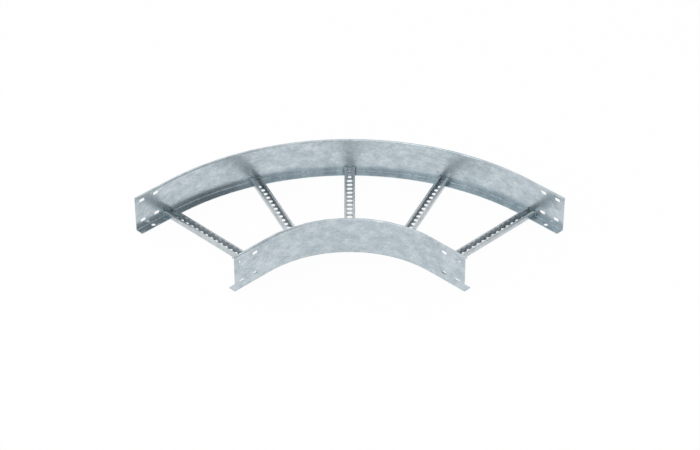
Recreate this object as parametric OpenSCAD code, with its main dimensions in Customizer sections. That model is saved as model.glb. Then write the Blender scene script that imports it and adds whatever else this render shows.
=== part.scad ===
// Horizontal 90 degree bend for a cable ladder, in hot-dip galvanised sheet steel.
// Two rails of folded sheet follow the bend, and five slotted C rungs join them.
// The rails stand on their bottom flanges, and the rungs lie on those flanges.

/* [Bend] */
// Clear width between the webs of the two rails
clear_w = 400; // [150:10:900]
// Radius of the inner rail, on the hollow side of its web
inner_r = 300; // [150:10:900]
// Angle that the run turns through
bend_angle = 90; // [45:15:90]
// Straight length past the bend, at each end of both rails
straight_len = 130; // [125:5:300]

/* [Rails] */
// Height of the rails
rail_h = 110; // [104:1:200]
// Thickness of the rails' sheet
sheet = 1.5; // [1:0.1:2.5]
// Inside radius of each fold in the rails
fold_in_r = 1.5; // [0.8:0.1:2.5]
// Width of the bottom flange, over the web
flange_w = 25; // [22:1:60]
// Width of the top lip, over the web
lip_w = 8.5; // [7:0.5:20]
// Depth of the turned-down edge of the top lip
lip_drop = 5; // [4:0.5:12]

/* [Rail ends] */
// Length of the slots in the webs
web_slot_len = 18; // [11:1:30]
// Height of the slots in the webs
web_slot_h = 9; // [7:0.5:11]
// Distance from the end of the rail to the first slot's middle
web_slot_in = 25; // [18:1:30]
// Distance between the two slots of a row
web_slot_gap = 50; // [40:1:60]
// Height of the lower row of slots
web_slot_low = 25; // [16:1:35]
// Distance from the lower row of slots to the upper row
web_slot_rise = 65; // [40:1:67]
// Diameter of the hole in the bottom flange
flange_hole_d = 11; // [6:0.5:12]
// Distance from the end of the rail to the flange hole
flange_hole_in = 50; // [20:1:80]
// Distance from the outside of the web to the flange hole
flange_hole_off = 14; // [12:0.5:15]

/* [Rungs] */
// Width of a rung
rung_w = 30; // [24:1:50]
// Height of a rung
rung_h = 15; // [12:1:40]
// Thickness of the rungs' sheet
rung_sheet = 1.5; // [1:0.1:2.5]
// Inside radius of each fold in the rungs
rung_fold_in_r = 1; // [0.5:0.1:2]
// Width of the open slot along the top of a rung
rung_mouth = 18; // [10:1:19]
// Distance from the end of the rail to the middle of the first rung
end_rung_in = 115; // [105:1:118]
// Gap between a rung's end and the start of the rails' folds
rung_end_gap = 1.5; // [0.1:0.1:3]

/* [Slots in the rungs] */
// Length of a slot, across the rung
rung_slot_len = 17; // [12:0.5:18]
// Width of a slot, along the rung
rung_slot_w = 11; // [5:0.5:11]
// Distance between neighbouring slots
rung_slot_pitch = 20; // [15:1:50]
// Distance from the rung's outer end to the middle of the first opening
rung_slot_in = 11.5; // [10:0.5:40]
// Least metal between the last slot and the rung's inner end
rung_land = 4; // [2:0.5:20]
// Number of round holes that take the slots' place at the outer end
rung_holes = 2; // [1:1:4]
// Diameter of the round holes
rung_hole_d = 11; // [5:0.5:14]

/* [Welds] */
// How far a weld bead reaches along the side of a rung
weld_leg = 1; // [1:0.1:4]
// Distance from the top of a bead up to the top of the rung
weld_short = 0.5; // [0:0.1:3]
// Distance between the ripples of a bead, at most
weld_pitch = 3.7; // [2:0.1:4.5]

/* [Hidden] */
arc_fn = 240;
fold_fn = 32;
weld_fn = 32;
through = 1;
fold_out_r = fold_in_r + sheet;
rung_fold_out_r = rung_fold_in_r + rung_sheet;
outer_r = inner_r + clear_w + 2 * sheet;
// A rung's corners meet the curved outer rail first, so the rung ends where they clear its fold
rung_start = inner_r + fold_out_r + rung_end_gap;
rung_stop = sqrt(pow(outer_r - fold_out_r - rung_end_gap, 2) - pow(rung_w / 2, 2));
rung_len = rung_stop - rung_start;
rung_slots = 1 + floor((rung_len - rung_slot_in - rung_slot_w / 2 - rung_land) / rung_slot_pitch);
// A bead fills the corner between a rung's side and the web, and bridges the gap at the rung's end
weld_r = fold_in_r + rung_end_gap + weld_leg;
weld_rise = rung_h - weld_short - weld_r;
weld_ripples = 1 + ceil(weld_rise / weld_pitch);
// Three rungs share the bend into equal angles
bend_step = bend_angle / 4;
// The middle of the whole bend, seen from above and measured from the centre of the arc
mid_x = (outer_r + inner_r * cos(bend_angle) - straight_len * sin(bend_angle)) / 2;
mid_y = (outer_r * sin(bend_angle) + straight_len * cos(bend_angle) - straight_len) / 2;

// Moves what is drawn about the centre of the arc to the middle of the part
module about_middle() {
    translate([-mid_x, -mid_y, 0]) children();
}

// Carries what is drawn at the first end over to the far end
module far_end() {
    rotate([0, 0, bend_angle]) mirror([0, 1, 0]) children();
}

module both_ends() {
    children();
    far_end() children();
}

// Sweeps a section, drawn with its distance from the arc's centre along x, through the run
module run() {
    rotate_extrude(angle = bend_angle, $fn = arc_fn) children();
    both_ends() rotate([90, 0, 0]) linear_extrude(straight_len) children();
}

// A quarter of a ring, from the x axis to the y axis
module fold(in_r, thick) {
    intersection() {
        difference() {
            circle(r = in_r + thick, $fn = fold_fn);
            circle(r = in_r, $fn = fold_fn);
        }
        square(in_r + thick);
    }
}

module obround(long, wide, deep) {
    linear_extrude(deep, center = true) {
        square([long - wide, wide], center = true);
        for (side = [-1, 1])
            translate([side * (long - wide) / 2, 0]) circle(d = wide, $fn = fold_fn);
    }
}

// Section of a rail: the web's outside lies on the y axis, and the ladder is on the side of x
module rail_section() {
    translate([0, fold_out_r]) square([sheet, rail_h - 2 * fold_out_r]);
    translate([fold_out_r, fold_out_r]) rotate(180) fold(fold_in_r, sheet);
    translate([fold_out_r, 0]) square([flange_w - fold_out_r, sheet]);
    translate([fold_out_r, rail_h - fold_out_r]) rotate(90) fold(fold_in_r, sheet);
    translate([fold_out_r, rail_h - sheet]) square([lip_w - 2 * fold_out_r, sheet]);
    translate([lip_w - fold_out_r, rail_h - fold_out_r]) fold(fold_in_r, sheet);
    translate([lip_w - sheet, rail_h - lip_drop]) square([sheet, lip_drop - fold_out_r]);
}

// Slots through a web whose outside is at web_r, and the hole through its flange
module end_holes(web_r, hole_r) {
    for (along = [web_slot_in, web_slot_in + web_slot_gap])
        for (up = [web_slot_low, web_slot_low + web_slot_rise])
            translate([web_r, along - straight_len, up])
                rotate([90, 0, 90])
                    obround(web_slot_len, web_slot_h, 2 * (sheet + through));
    translate([hole_r, flange_hole_in - straight_len, sheet / 2])
        cylinder(h = sheet + 2 * through, d = flange_hole_d, center = true, $fn = fold_fn);
}

module inner_rail() {
    color("#bcc6cb") about_middle() difference() {
        run() translate([inner_r, 0]) rail_section();
        both_ends() end_holes(inner_r, inner_r + flange_hole_off);
    }
}

module outer_rail() {
    color("#b4bfc5") about_middle() difference() {
        run() translate([outer_r, 0]) mirror([1, 0]) rail_section();
        both_ends() end_holes(outer_r, outer_r - flange_hole_off);
    }
}

// A rectangle that stands on the x axis, with round corners
module round_block(wide, high, corner_r) {
    translate([-wide / 2, corner_r]) square([wide, high - 2 * corner_r]);
    translate([corner_r - wide / 2, 0]) square([wide - 2 * corner_r, high]);
    for (side = [-1, 1])
        for (up = [corner_r, high - corner_r])
            translate([side * (wide / 2 - corner_r), up]) circle(r = corner_r, $fn = fold_fn);
}

module rung_section() {
    difference() {
        round_block(rung_w, rung_h, rung_fold_out_r);
        translate([0, rung_sheet])
            round_block(rung_w - 2 * rung_sheet, rung_h - 2 * rung_sheet, rung_fold_in_r);
        translate([-rung_mouth / 2, rung_h / 2]) square([rung_mouth, rung_h]);
    }
}

// Carries what is drawn as a section to the whole length of a rung that points along +X
module along_rung() {
    translate([rung_start, 0, sheet]) rotate([90, 0, 90]) linear_extrude(rung_len) children();
}

module rung() {
    difference() {
        along_rung() rung_section();
        for (i = [0 : rung_slots - 1])
            translate([rung_stop - rung_slot_in - i * rung_slot_pitch, 0, sheet])
                if (i < rung_holes)
                    cylinder(h = 2 * (rung_sheet + through), d = rung_hole_d, center = true, $fn = fold_fn);
                else
                    rotate([0, 0, 90])
                        obround(rung_slot_len, rung_slot_w, 2 * (rung_sheet + through));
    }
}

// Places of the five rungs, counted from the first end
module at_rung(number) {
    about_middle() {
        if (number == 1) translate([0, end_rung_in - straight_len, 0]) children();
        else if (number == 5) far_end() translate([0, end_rung_in - straight_len, 0]) children();
        else rotate([0, 0, (number - 1) * bend_step]) children();
    }
}

// Section of the space between the two webs, down to the folds and flanges
module channel_section() {
    translate([inner_r + sheet, fold_out_r]) square([clear_w, rung_h]);
    translate([inner_r + fold_out_r, sheet]) square([clear_w - 2 * fold_in_r, rung_h]);
    for (x = [inner_r + fold_out_r, outer_r - fold_out_r])
        translate([x, fold_out_r]) circle(r = fold_in_r, $fn = fold_fn);
}

// A column of ripples, from the flange up
module weld_bead() {
    for (i = [0 : weld_ripples - 1])
        translate([0, 0, sheet + weld_rise * i / (weld_ripples - 1)])
            sphere(r = weld_r, $fn = weld_fn);
}

// The four beads of one rung, in the corners that its sides make with the webs
module rung_beads() {
    difference() {
        for (x = [inner_r + sheet, outer_r - sheet])
            for (side = [-1, 1])
                translate([x, side * rung_w / 2, 0]) weld_bead();
        along_rung() translate([-rung_w / 2, 0]) square([rung_w, rung_h]);
    }
}

module welds(number) {
    color("#9aa3a8") intersection() {
        at_rung(number) rung_beads();
        about_middle() run() channel_section();
    }
}

module painted_rung(number) {
    color("#aab4b9") at_rung(number) rung();
}

outer_rail();
inner_rail();
painted_rung(1);  // rung_1
painted_rung(2);  // rung_2
painted_rung(3);  // rung_3
painted_rung(4);  // rung_4
painted_rung(5);  // rung_5
welds(1);  // welds_rung_1
welds(2);  // welds_rung_2
welds(3);  // welds_rung_3
welds(4);  // welds_rung_4
welds(5);  // welds_rung_5
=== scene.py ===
"""Looks of a cable ladder bend in hot-dip galvanised steel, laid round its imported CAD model.

The solids keep the shapes of the CAD nodes. This file gives each of them its zinc finish, and sets
the bend on a pale floor under soft studio light, seen from the photograph's viewing angle.
"""

import math

import bpy
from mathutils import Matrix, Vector


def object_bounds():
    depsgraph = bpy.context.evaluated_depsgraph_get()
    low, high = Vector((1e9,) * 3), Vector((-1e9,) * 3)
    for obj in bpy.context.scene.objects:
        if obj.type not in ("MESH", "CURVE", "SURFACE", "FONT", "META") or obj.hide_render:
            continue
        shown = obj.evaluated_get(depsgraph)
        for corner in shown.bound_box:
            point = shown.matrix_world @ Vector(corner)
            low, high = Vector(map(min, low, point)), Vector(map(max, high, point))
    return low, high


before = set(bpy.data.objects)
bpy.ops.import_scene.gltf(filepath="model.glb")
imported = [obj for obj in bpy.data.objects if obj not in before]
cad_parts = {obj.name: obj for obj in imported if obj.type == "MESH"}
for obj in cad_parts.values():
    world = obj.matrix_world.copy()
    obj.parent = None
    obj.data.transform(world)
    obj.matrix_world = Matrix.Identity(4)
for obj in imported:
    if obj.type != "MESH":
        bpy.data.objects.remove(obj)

bl_info = {
    "name": "Cable ladder bend",
    "version": (1, 0, 0),
    "blender": (4, 5, 0),
    "location": "View3D > Sidebar > Ladder bend",
    "description": "Zinc finishes, studio and camera for a galvanised cable ladder bend",
    "category": "Object",
}

MM = 0.001
CAD_LOW, CAD_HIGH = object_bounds()
RAILS = ("outer_rail", "inner_rail")
RUNGS = tuple(sorted(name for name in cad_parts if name.startswith("rung_")))
WELDS = tuple(sorted(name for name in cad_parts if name.startswith("welds_")))

# Width of the camera's frame in millimetres, for which its focal length is given
FRAME_WIDTH = 36.0

WHITE = (1, 1, 1, 1)
BLACK = (0, 0, 0, 1)

# Sockets of the Mix node by number, because it has one of each name for every kind of value
NUMBER_A, NUMBER_B, NUMBER_OUT = 2, 3, 0
COLOUR_A, COLOUR_B, COLOUR_OUT = 6, 7, 2

# How far a crystal's edges wander, as a share of its width
CRYSTAL_WANDER = 0.7
# The crystals' share in the coat's mottling, of which the clouds have the rest
CRYSTAL_SHARE = 0.45
# The fine grain's share over both
GRAIN_SHARE = 0.15
# Values of the cloud noise at which a patch is wholly dull and wholly bright
CLOUD_DULL, CLOUD_BRIGHT = 0.3, 0.7
# Octaves of the cloud and grain noises, and how much each finer octave keeps of the one before
NOISE_OCTAVES, NOISE_KEEP = 3.0, 0.6
# Height of the melt's waves and of the grain, and the share of it that the shading takes
WAVE_HEIGHT, WAVE_STRENGTH = 0.25 * MM, 0.25
GRAIN_HEIGHT, GRAIN_STRENGTH = 0.03 * MM, 0.3


def linear(hex_colour):
    """A linear RGBA colour from sRGB hex: the low end divides by 12.92, the rest is a 2.4 power."""
    parts = [int(hex_colour[i : i + 2], 16) / 255 for i in (1, 3, 5)]
    curved = [c / 12.92 if c <= 0.04045 else ((c + 0.055) / 1.055) ** 2.4 for c in parts]
    return tuple(curved) + (1.0,)


class ZincSettings(bpy.types.PropertyGroup):
    """The zinc coat's colours and gloss, and the sizes of its patterns."""

    bright: bpy.props.FloatVectorProperty(
        name="Bright zinc",
        description="Colour of the rails' zinc where its crystals lie flat",
        default=linear("#D1DBE0"),
        subtype="COLOR",
        size=4,
    )
    dull: bpy.props.FloatVectorProperty(
        name="Dull zinc",
        description="Colour of the rails' zinc where its crystals stand steep",
        default=linear("#A8B4BB"),
        subtype="COLOR",
        size=4,
    )
    rung_bright: bpy.props.FloatVectorProperty(
        name="Bright zinc on rungs",
        description="Colour of the rungs' thinner, greyer zinc at its brightest",
        default=linear("#D0D7DB"),
        subtype="COLOR",
        size=4,
    )
    rung_dull: bpy.props.FloatVectorProperty(
        name="Dull zinc on rungs",
        description="Colour of the rungs' thinner, greyer zinc at its dullest",
        default=linear("#AFB6BA"),
        subtype="COLOR",
        size=4,
    )
    weld: bpy.props.FloatVectorProperty(
        name="Zinc on welds",
        description="Colour of the zinc that has alloyed with a weld bead",
        default=linear("#8E979C"),
        subtype="COLOR",
        size=4,
    )
    rail_roughness: bpy.props.FloatVectorProperty(
        name="Roughness of rails",
        description="Roughness of the rails' zinc at its brightest, and at its dullest",
        default=(0.24, 0.36),
        size=2,
    )
    rung_roughness: bpy.props.FloatVectorProperty(
        name="Roughness of rungs",
        description="Roughness of the rungs' zinc at its brightest, and at its dullest",
        default=(0.26, 0.4),
        size=2,
    )
    weld_roughness: bpy.props.FloatVectorProperty(
        name="Roughness of welds",
        description="Roughness of the welds' zinc at its brightest, and at its dullest",
        default=(0.4, 0.55),
        size=2,
    )
    fold_roughness: bpy.props.FloatProperty(
        name="Roughness of the fold",
        description="Roughness of the thick zinc that gathered in the rails' bottom fold",
        default=0.6,
        subtype="FACTOR",
    )
    spangle: bpy.props.FloatProperty(
        name="Spangle",
        description="Width of a zinc crystal",
        default=7 * MM,
        unit="LENGTH",
    )
    cloud: bpy.props.FloatProperty(
        name="Cloud",
        description="Width of the cloudy patches in the coat",
        default=38 * MM,
        unit="LENGTH",
    )
    grain: bpy.props.FloatProperty(
        name="Grain",
        description="Width of the coat's fine grain, coarser than the real one so that it shows",
        default=2.2 * MM,
        unit="LENGTH",
    )
    run_off: bpy.props.FloatProperty(
        name="Run-off",
        description="How many times wider than high the patches on the rails are",
        default=1.7,
    )
    fold: bpy.props.FloatProperty(
        name="Bottom fold",
        description="Height of the middle of the fold where the melt gathered",
        default=2.6 * MM,
        unit="LENGTH",
    )
    fold_thick: bpy.props.FloatProperty(
        name="Thick zinc",
        description="How far above and below that height the zinc is thick and dull",
        default=0.65 * MM,
        unit="LENGTH",
    )
    fold_thin: bpy.props.FloatProperty(
        name="Thin zinc",
        description="How far above and below that height the zinc has its usual gloss again",
        default=1.04 * MM,
        unit="LENGTH",
    )


class StudioSettings(bpy.types.PropertyGroup):
    """Where the camera stands, and how the studio is lit."""

    lens: bpy.props.FloatProperty(
        name="Lens",
        description="Focal length on a frame that is 36 mm wide",
        default=116.18,
        unit="CAMERA",
    )
    distance: bpy.props.FloatProperty(
        name="Distance",
        description="Distance from the camera to the point that it looks at",
        default=6261 * MM,
        unit="LENGTH",
    )
    elevation: bpy.props.FloatProperty(
        name="Elevation",
        description="Height of the camera above the horizon",
        default=math.radians(34.88),
        subtype="ANGLE",
    )
    azimuth: bpy.props.FloatProperty(
        name="Azimuth",
        description="Turn of the camera round the bend, where 0 looks along +Y",
        default=math.radians(-45),
        subtype="ANGLE",
    )
    outer_radius: bpy.props.FloatProperty(
        name="Outer radius",
        description="Radius of the outer rail's far side, from which the arc's centre is found",
        default=703 * MM,
        unit="LENGTH",
    )
    reach: bpy.props.FloatProperty(
        name="Reach",
        description="Distance from the arc's centre to the point that the camera looks at",
        default=431 * MM,
        unit="LENGTH",
    )
    aside: bpy.props.FloatProperty(
        name="Aside",
        description="How far that point lies to the camera's right of the bend's diagonal",
        default=0.9 * MM,
        unit="LENGTH",
    )
    floor_width: bpy.props.FloatProperty(
        name="Floor's width",
        description="Width of the floor",
        default=30.0,
        unit="LENGTH",
    )
    floor: bpy.props.FloatVectorProperty(
        name="Floor",
        description="Colour of the floor",
        default=linear("#F4F5F5"),
        subtype="COLOR",
        size=4,
    )
    lift: bpy.props.FloatProperty(
        name="Lift",
        description="How far the floor's shadows are lifted towards white",
        default=0.95,
        subtype="FACTOR",
    )
    key_power: bpy.props.FloatProperty(
        name="Key lamp",
        description="Power of the large soft lamp",
        default=6.0,
        unit="POWER",
    )
    key_width: bpy.props.FloatProperty(
        name="Key lamp's width",
        description="Width of the large soft lamp",
        default=0.8,
        unit="LENGTH",
    )
    key_place: bpy.props.FloatVectorProperty(
        name="Key lamp's place",
        description="Where the large soft lamp hangs",
        default=(-1.0, 0.15, 2.8),
        subtype="TRANSLATION",
    )
    shade: bpy.props.FloatProperty(
        name="Shade",
        description="Brightness of the studio's shaded side, which the folds mirror as a dark line",
        default=0.15,
        subtype="FACTOR",
    )
    shade_side: bpy.props.FloatVectorProperty(
        name="Shaded side",
        description="Direction in which that side lies",
        default=(0.36, -0.85, 0.38),
        subtype="DIRECTION",
    )
    shade_core: bpy.props.FloatProperty(
        name="Core of the shade",
        description="Angle from the middle of the shaded side to where its soft edge starts",
        default=math.radians(16),
        subtype="ANGLE",
    )
    shade_edge: bpy.props.FloatProperty(
        name="Edge of the shade",
        description="Angle from the middle of the shaded side to where its soft edge ends",
        default=math.radians(32),
        subtype="ANGLE",
    )


def add_node(tree, kind, *values):
    """Adds a node, and sets or links each of the (name, value) pairs that are given.

    A name is an attribute's or an input's, or the input's number where inputs share a name. A value
    that is another node's output is linked to the input.
    """
    node = tree.nodes.new(kind)
    for name, value in values:
        if isinstance(value, bpy.types.NodeSocket):
            tree.links.new(value, node.inputs[name])
        elif isinstance(name, str) and hasattr(node, name):
            setattr(node, name, value)
        else:
            node.inputs[name].default_value = value
    return node


def empty_tree(owner):
    """The node tree of a new material or world, with no node in it."""
    owner.use_nodes = True
    owner.node_tree.nodes.clear()
    return owner.node_tree


def crystal_tilt(tree, spangle, place):
    """One number from 0 to 1 for each crystal, in cells whose edges a noise has bent."""
    wander = add_node(tree, "ShaderNodeTexNoise", ("Vector", place), ("Scale", 1 / spangle))
    bent = add_node(
        tree,
        "ShaderNodeVectorMath",
        ("operation", "MULTIPLY_ADD"),
        (0, wander.outputs["Color"]),
        (1, (spangle * CRYSTAL_WANDER,) * 3),
        (2, place),
    )
    cells = add_node(
        tree,
        "ShaderNodeTexVoronoi",
        ("Vector", bent.outputs["Vector"]),
        ("Scale", 1 / spangle),
    )
    split = add_node(tree, "ShaderNodeSeparateColor", ("Color", cells.outputs["Color"]))
    return split.outputs["Red"]


def zinc_mottling(tree, clouds, tilt, grain):
    """Brightness of the coat, from 0 to 1: sharpened clouds, mixed with crystals and then grain."""
    patches = add_node(
        tree,
        "ShaderNodeMapRange",
        ("interpolation_type", "SMOOTHSTEP"),
        ("Value", clouds),
        ("From Min", CLOUD_DULL),
        ("From Max", CLOUD_BRIGHT),
    )
    coat = add_node(
        tree,
        "ShaderNodeMix",
        ("data_type", "FLOAT"),
        ("Factor", CRYSTAL_SHARE),
        (NUMBER_A, patches.outputs["Result"]),
        (NUMBER_B, tilt),
    )
    return add_node(
        tree,
        "ShaderNodeMix",
        ("data_type", "FLOAT"),
        ("Factor", GRAIN_SHARE),
        (NUMBER_A, coat.outputs[NUMBER_OUT]),
        (NUMBER_B, grain),
    ).outputs[NUMBER_OUT]


def dulled_fold(tree, zinc, place, roughness):
    """The roughness that is given, raised where the height is near that of the bottom fold."""
    height = add_node(tree, "ShaderNodeSeparateXYZ", ("Vector", place)).outputs["Z"]
    above = add_node(
        tree,
        "ShaderNodeMath",
        ("operation", "SUBTRACT"),
        (0, height),
        (1, zinc.fold),
    )
    away = add_node(tree, "ShaderNodeMath", ("operation", "ABSOLUTE"), (0, above.outputs["Value"]))
    return add_node(
        tree,
        "ShaderNodeMapRange",
        ("Value", away.outputs["Value"]),
        ("From Min", zinc.fold_thick),
        ("From Max", zinc.fold_thin),
        ("To Min", zinc.fold_roughness),
        ("To Max", roughness),
    ).outputs["Result"]


def frozen_melt(tree, clouds, grain):
    """Normals of a skin that froze in low waves, with the fine grain on top of them."""
    waves = add_node(
        tree,
        "ShaderNodeBump",
        ("Strength", WAVE_STRENGTH),
        ("Distance", WAVE_HEIGHT),
        ("Height", clouds),
    )
    return add_node(
        tree,
        "ShaderNodeBump",
        ("Strength", GRAIN_STRENGTH),
        ("Distance", GRAIN_HEIGHT),
        ("Height", grain),
        ("Normal", waves.outputs["Normal"]),
    ).outputs["Normal"]


def zinc_material(name, zinc, bright, dull, roughness, run_off=1.0, gathered=False):
    """Hot-dip galvanised steel: zinc that froze in flat crystals over a faintly wavy melt.

    Each crystal mirrors the room at its own tilt and gloss, so the eye sees small dull and bright
    patches inside larger clouds, on a satin metal that still reflects what stands close to it.
    run_off makes the patches wider than high, as the melt ran off along the sheet. Where it has
    gathered in the bottom fold, its thicker skin froze dull.
    """
    material = bpy.data.materials.new(name)
    tree = empty_tree(material)
    place = add_node(tree, "ShaderNodeTexCoord").outputs["Object"]
    flat = add_node(
        tree,
        "ShaderNodeMapping",
        ("Vector", place),
        ("Scale", (1, 1, run_off)),
    ).outputs["Vector"]
    clouds, grain = (
        add_node(
            tree,
            "ShaderNodeTexNoise",
            ("Vector", where),
            ("Scale", 1 / width),
            ("Detail", NOISE_OCTAVES),
            ("Roughness", NOISE_KEEP),
        ).outputs["Fac"]
        for where, width in ((flat, zinc.cloud), (place, zinc.grain))
    )
    coat = zinc_mottling(tree, clouds, crystal_tilt(tree, zinc.spangle, flat), grain)
    colour = add_node(
        tree,
        "ShaderNodeMix",
        ("data_type", "RGBA"),
        ("Factor", coat),
        (COLOUR_A, dull),
        (COLOUR_B, bright),
    )
    brightest, dullest = roughness
    gloss = add_node(
        tree,
        "ShaderNodeMapRange",
        ("Value", coat),
        ("To Min", dullest),
        ("To Max", brightest),
    ).outputs["Result"]
    if gathered:
        gloss = dulled_fold(tree, zinc, place, gloss)
    metal = add_node(
        tree,
        "ShaderNodeBsdfPrincipled",
        ("Metallic", 1.0),
        ("Base Color", colour.outputs[COLOUR_OUT]),
        ("Roughness", gloss),
        ("Normal", frozen_melt(tree, clouds, grain)),
    )
    add_node(tree, "ShaderNodeOutputMaterial", ("Surface", metal.outputs["BSDF"]))
    return material


def finish_nodes(names, material):
    """Gives the named CAD nodes one material."""
    for name in names:
        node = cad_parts[name]
        node.data.materials.clear()
        node.data.materials.append(material)


class LADDER_OT_rails(bpy.types.Operator):
    """Gives both side rails their rolled and galvanised sheet finish"""

    bl_idname = "ladder.rails"
    bl_label = "Finish the rails"

    def execute(self, context):
        zinc = context.scene.ladder_zinc
        material = zinc_material(
            "galvanised_rail_sheet",
            zinc,
            zinc.bright,
            zinc.dull,
            zinc.rail_roughness,
            run_off=zinc.run_off,
            gathered=True,
        )
        finish_nodes(RAILS, material)
        return {"FINISHED"}


class LADDER_OT_rungs(bpy.types.Operator):
    """Gives the perforated rungs their galvanised finish"""

    bl_idname = "ladder.rungs"
    bl_label = "Finish the rungs"

    def execute(self, context):
        zinc = context.scene.ladder_zinc
        material = zinc_material(
            "galvanised_rung_sheet",
            zinc,
            zinc.rung_bright,
            zinc.rung_dull,
            zinc.rung_roughness,
        )
        finish_nodes(RUNGS, material)
        return {"FINISHED"}


class LADDER_OT_welds(bpy.types.Operator):
    """Gives the weld beads the duller zinc that forms on them"""

    bl_idname = "ladder.welds"
    bl_label = "Finish the welds"

    def execute(self, context):
        zinc = context.scene.ladder_zinc
        material = zinc_material(
            "galvanised_weld_bead",
            zinc,
            zinc.dull,
            zinc.weld,
            zinc.weld_roughness,
        )
        finish_nodes(WELDS, material)
        return {"FINISHED"}


def seen_directly(tree):
    """1 on camera, mirror and see-through rays, and 0 on the rays that light the object."""
    path = add_node(tree, "ShaderNodeLightPath").outputs
    mirrored = add_node(
        tree,
        "ShaderNodeMath",
        ("operation", "MAXIMUM"),
        (0, path["Is Camera Ray"]),
        (1, path["Is Glossy Ray"]),
    )
    return add_node(
        tree,
        "ShaderNodeMath",
        ("operation", "MAXIMUM"),
        (0, mirrored.outputs["Value"]),
        (1, path["Is Transmission Ray"]),
    ).outputs["Value"]


def floor_material(studio):
    """Matt white paper, lifted to white where it is seen directly or mirrored.

    The eye still finds the shadows on it, but faint, as on an evenly lit table.
    """
    material = bpy.data.materials.new("white_paper_floor")
    tree = empty_tree(material)
    paper = add_node(tree, "ShaderNodeBsdfDiffuse", ("Color", studio.floor))
    white = add_node(tree, "ShaderNodeEmission", ("Color", WHITE))
    lift = add_node(
        tree,
        "ShaderNodeMath",
        ("operation", "MULTIPLY"),
        (0, seen_directly(tree)),
        (1, studio.lift),
    )
    mixed = add_node(
        tree,
        "ShaderNodeMixShader",
        ("Fac", lift.outputs["Value"]),
        (1, paper.outputs["BSDF"]),
        (2, white.outputs["Emission"]),
    )
    add_node(tree, "ShaderNodeOutputMaterial", ("Surface", mixed.outputs["Shader"]))
    return material


def lay_floor(scene, studio):
    """Lays a flat square of paper at the height of the rails' bottom flanges."""
    half = studio.floor_width / 2
    corners = [(-half, -half, 0), (half, -half, 0), (half, half, 0), (-half, half, 0)]
    mesh = bpy.data.meshes.new("floor")
    mesh.from_pydata(corners, [], [(0, 1, 2, 3)])
    mesh.materials.append(floor_material(studio))
    floor = bpy.data.objects.new("floor", mesh)
    scene.collection.objects.link(floor)


def shaded_side(tree, studio):
    """White all round, but for one soft-edged side that is left almost unlit.

    The cosine of the angle from that side's middle runs smoothly from white to the shade.
    """
    way = add_node(tree, "ShaderNodeTexCoord").outputs["Generated"]
    facing = add_node(
        tree,
        "ShaderNodeVectorMath",
        ("operation", "DOT_PRODUCT"),
        (0, way),
        (1, Vector(studio.shade_side).normalized()),
    )
    inside = add_node(
        tree,
        "ShaderNodeMapRange",
        ("interpolation_type", "SMOOTHSTEP"),
        ("Value", facing.outputs["Value"]),
        ("From Min", math.cos(studio.shade_edge)),
        ("From Max", math.cos(studio.shade_core)),
        ("To Max", 1 - studio.shade),
    )
    return add_node(
        tree,
        "ShaderNodeMix",
        ("data_type", "RGBA"),
        ("Factor", inside.outputs["Result"]),
        (COLOUR_A, WHITE),
        (COLOUR_B, BLACK),
    ).outputs[COLOUR_OUT]


def light_surroundings(scene, studio):
    """Puts the bend in a white studio with one shaded side."""
    world = bpy.data.worlds.new("studio")
    scene.world = world
    tree = empty_tree(world)
    light = add_node(
        tree,
        "ShaderNodeBackground",
        ("Color", shaded_side(tree, studio)),
        ("Strength", 1.0),
    )
    add_node(tree, "ShaderNodeOutputWorld", ("Surface", light.outputs["Background"]))


def hang_key_lamp(scene, studio):
    """Hangs the large square lamp, and turns it towards the middle of the bend."""
    lamp = bpy.data.lights.new("key", "AREA")
    lamp.shape = "SQUARE"
    lamp.size = studio.key_width
    lamp.energy = studio.key_power
    key = bpy.data.objects.new("key", lamp)
    key.location = studio.key_place
    key.rotation_euler = (-key.location).to_track_quat("-Z", "Y").to_euler()
    scene.collection.objects.link(key)


class LADDER_OT_stage(bpy.types.Operator):
    """Lays the pale floor, and sets the white surroundings and the soft lamp"""

    bl_idname = "ladder.stage"
    bl_label = "Set the stage"

    def execute(self, context):
        scene = context.scene
        studio = scene.ladder_studio
        lay_floor(scene, studio)
        light_surroundings(scene, studio)
        hang_key_lamp(scene, studio)
        scene.view_settings.view_transform = "Standard"
        return {"FINISHED"}


def arc_centre(radius):
    """The centre of the bend's arc, on the floor: the outer rail's far side less its radius."""
    return Vector((CAD_HIGH.x - radius, CAD_HIGH.y - radius, CAD_LOW.z))


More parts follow.
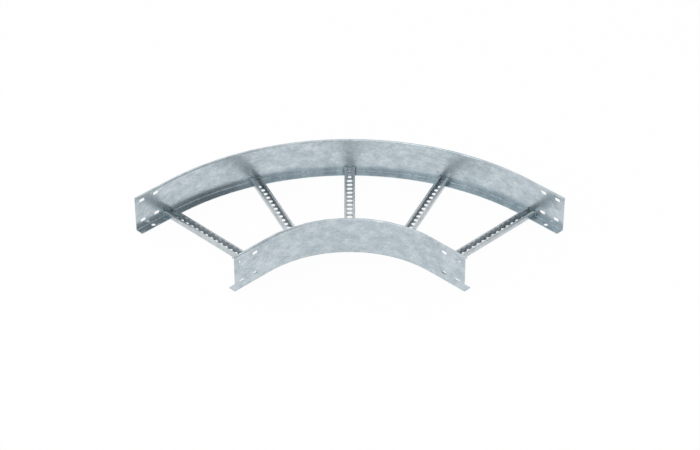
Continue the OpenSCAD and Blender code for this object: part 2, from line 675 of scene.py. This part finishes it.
class LADDER_OT_camera(bpy.types.Operator):
    """Stands the camera where the photograph was taken from"""

    bl_idname = "ladder.camera"
    bl_label = "Set the camera"

    def execute(self, context):
        studio = context.scene.ladder_studio
        data = bpy.data.cameras.new("photo_camera")
        data.sensor_width = FRAME_WIDTH
        data.lens = studio.lens
        camera = bpy.data.objects.new("photo_camera", data)
        turn, rise = studio.azimuth, studio.elevation
        ahead = Vector((-math.sin(turn), math.cos(turn), 0))
        right = Vector((math.cos(turn), math.sin(turn), 0))
        back = Vector(
            (math.sin(turn) * math.cos(rise), -math.cos(turn) * math.cos(rise), math.sin(rise))
        )
        target = arc_centre(studio.outer_radius) + ahead * studio.reach + right * studio.aside
        camera.location = target + back * studio.distance
        camera.rotation_euler = (-back).to_track_quat("-Z", "Y").to_euler()
        context.scene.collection.objects.link(camera)
        context.scene.camera = camera
        return {"FINISHED"}


class LADDER_PT_panel(bpy.types.Panel):
    """Lists the steps of the scene, and the sizes and colours that they read"""

    bl_label = "Ladder bend"
    bl_space_type = "VIEW_3D"
    bl_region_type = "UI"
    bl_category = "Ladder bend"

    def draw(self, context):
        for step in STEPS:
            self.layout.operator(step.bl_idname)
        for settings in (context.scene.ladder_zinc, context.scene.ladder_studio):
            box = self.layout.box()
            for name in settings.__annotations__:
                box.prop(settings, name)


STEPS = (LADDER_OT_camera, LADDER_OT_stage, LADDER_OT_rails, LADDER_OT_rungs, LADDER_OT_welds)
CLASSES = (ZincSettings, StudioSettings) + STEPS + (LADDER_PT_panel,)


def register():
    for cls in CLASSES:
        bpy.utils.register_class(cls)
    bpy.types.Scene.ladder_zinc = bpy.props.PointerProperty(type=ZincSettings)
    bpy.types.Scene.ladder_studio = bpy.props.PointerProperty(type=StudioSettings)


def unregister():
    del bpy.types.Scene.ladder_studio
    del bpy.types.Scene.ladder_zinc
    for cls in reversed(CLASSES):
        bpy.utils.unregister_class(cls)


def main():
    register()
    bpy.ops.ladder.camera()
    bpy.ops.ladder.stage()
    bpy.ops.ladder.rails()
    bpy.ops.ladder.rungs()
    bpy.ops.ladder.welds()


if __name__ == "__main__":
    main()
